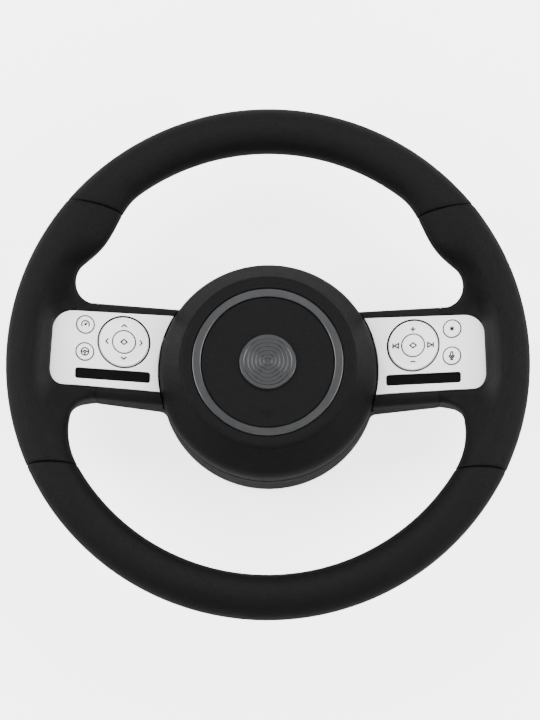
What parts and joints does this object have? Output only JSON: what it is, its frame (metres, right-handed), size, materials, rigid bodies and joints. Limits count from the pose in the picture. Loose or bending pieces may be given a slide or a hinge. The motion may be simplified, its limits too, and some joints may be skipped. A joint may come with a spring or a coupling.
{
  "type": "steering wheel",
  "caption": "Two-spoke car steering wheel with a leather rim, round airbag cover and white switch panels with four-way rings and push buttons.",
  "frame": {"origin": "on the steering axis, at the level of the rear cover's rear face", "axes": "+Z along the steering axis toward the driver, +Y toward twelve o'clock, +X to the driver's right"},
  "size_m": [0.37, 0.37, 0.0891],
  "materials": {
    "alloy": "as cast",
    "foam": "matt",
    "leather": "fine grain, matt",
    "rear_plastic": "fine grain",
    "cover_plastic": "fine grain",
    "white_plastic": "satin gloss",
    "black_gloss": "gloss",
    "housing_plastic": "moulded",
    "board": "solder mask",
    "steel": "zinc plated",
    "contact": "bright",
    "trim_metal": "satin",
    "can_steel": "black coated",
    "airbag_cloth": "coated woven nylon",
    "spring_steel": "drawn wire",
    "cradle_plastic": "moulded"
  },
  "bodies": {
    "wheel": {"armature": "alloy", "rim_core": "steel", "rim_foam": "foam", "leather_top": "leather", "leather_bottom": "leather", "leather_right": "leather", "leather_left": "leather", "rear_cover": "rear_plastic", "rear_cover_screws": "steel", "bezel_right": "white_plastic", "bezel_left": "white_plastic", "slot_inlay_right": "black_gloss", "slot_inlay_left": "black_gloss", "switch_housing_right": "housing_plastic", "switch_housing_left": "housing_plastic", "switch_board_right": "board", "switch_board_left": "board", "housing_screws": "steel", "horn_contact_lower": "contact"},
    "airbag_module": {"airbag_cover": "cover_plastic", "trim_ring": "trim_metal", "medallion": "trim_metal", "airbag_can": "can_steel", "airbag_cushion": "airbag_cloth", "inflator": "steel", "retainer_ring": "steel", "module_nuts": "steel", "guide_pins": "steel", "horn_contact_upper": "contact", "horn_spring_top": "spring_steel", "horn_spring_right": "spring_steel", "horn_spring_left": "spring_steel"},
    "cradle_right": {"cradle_right": "cradle_plastic"},
    "rocker_right": {"rocker_right": "white_plastic"},
    "center_button_right": {"center_button_right": "white_plastic"},
    "upper_button_right": {"upper_button_right": "white_plastic"},
    "lower_button_right": {"lower_button_right": "white_plastic"},
    "cradle_left": {"cradle_left": "cradle_plastic"},
    "rocker_left": {"rocker_left": "white_plastic"},
    "center_button_left": {"center_button_left": "white_plastic"},
    "upper_button_left": {"upper_button_left": "white_plastic"},
    "lower_button_left": {"lower_button_left": "white_plastic"}
  },
  "joints": [
    {"name": "horn_press", "type": "slide", "parent": "wheel", "child": "airbag_module", "axis": [0, 0, 1], "range_m": [-0.0015, 0], "stiffness_N_per_m": 20000, "springref_m": 0.0012, "deforming": ["horn_spring_top", "horn_spring_right", "horn_spring_left"]},
    {"name": "rocker_right_up_down", "type": "hinge", "parent": "wheel", "child": "cradle_right", "pos_m": [0.10339, 0.0183, 0.0499], "axis": [0.9816, 0, 0.1908], "range_deg": [-2.5, 2.5], "stiffness_Nm_per_rad": 0.6},
    {"name": "rocker_right_left_right", "type": "hinge", "parent": "cradle_right", "child": "rocker_right", "pos_m": [0.10339, 0.0183, 0.0499], "axis": [0, 1, 0], "range_deg": [-2.5, 2.5], "stiffness_Nm_per_rad": 0.6},
    {"name": "center_button_right_press", "type": "slide", "parent": "rocker_right", "child": "center_button_right", "axis": [-0.1908, 0, 0.9816], "range_m": [-0.0008, 0], "stiffness_N_per_m": 900, "springref_m": 0.0006},
    {"name": "upper_button_right_press", "type": "slide", "parent": "wheel", "child": "upper_button_right", "axis": [-0.1908, 0, 0.9816], "range_m": [-0.0008, 0], "stiffness_N_per_m": 900, "springref_m": 0.0006},
    {"name": "lower_button_right_press", "type": "slide", "parent": "wheel", "child": "lower_button_right", "axis": [-0.1908, 0, 0.9816], "range_m": [-0.0008, 0], "stiffness_N_per_m": 900, "springref_m": 0.0006},
    {"name": "rocker_left_up_down", "type": "hinge", "parent": "wheel", "child": "cradle_left", "pos_m": [-0.10339, 0.0183, 0.0499], "axis": [-0.9816, 0, 0.1908], "range_deg": [-2.5, 2.5], "stiffness_Nm_per_rad": 0.6},
    {"name": "rocker_left_left_right", "type": "hinge", "parent": "cradle_left", "child": "rocker_left", "pos_m": [-0.10339, 0.0183, 0.0499], "axis": [0, 1, 0], "range_deg": [-2.5, 2.5], "stiffness_Nm_per_rad": 0.6},
    {"name": "center_button_left_press", "type": "slide", "parent": "rocker_left", "child": "center_button_left", "axis": [0.1908, 0, 0.9816], "range_m": [-0.0008, 0], "stiffness_N_per_m": 900, "springref_m": 0.0006},
    {"name": "upper_button_left_press", "type": "slide", "parent": "wheel", "child": "upper_button_left", "axis": [0.1908, 0, 0.9816], "range_m": [-0.0008, 0], "stiffness_N_per_m": 900, "springref_m": 0.0006},
    {"name": "lower_button_left_press", "type": "slide", "parent": "wheel", "child": "lower_button_left", "axis": [0.1908, 0, 0.9816], "range_m": [-0.0008, 0], "stiffness_N_per_m": 900, "springref_m": 0.0006}
  ]
}
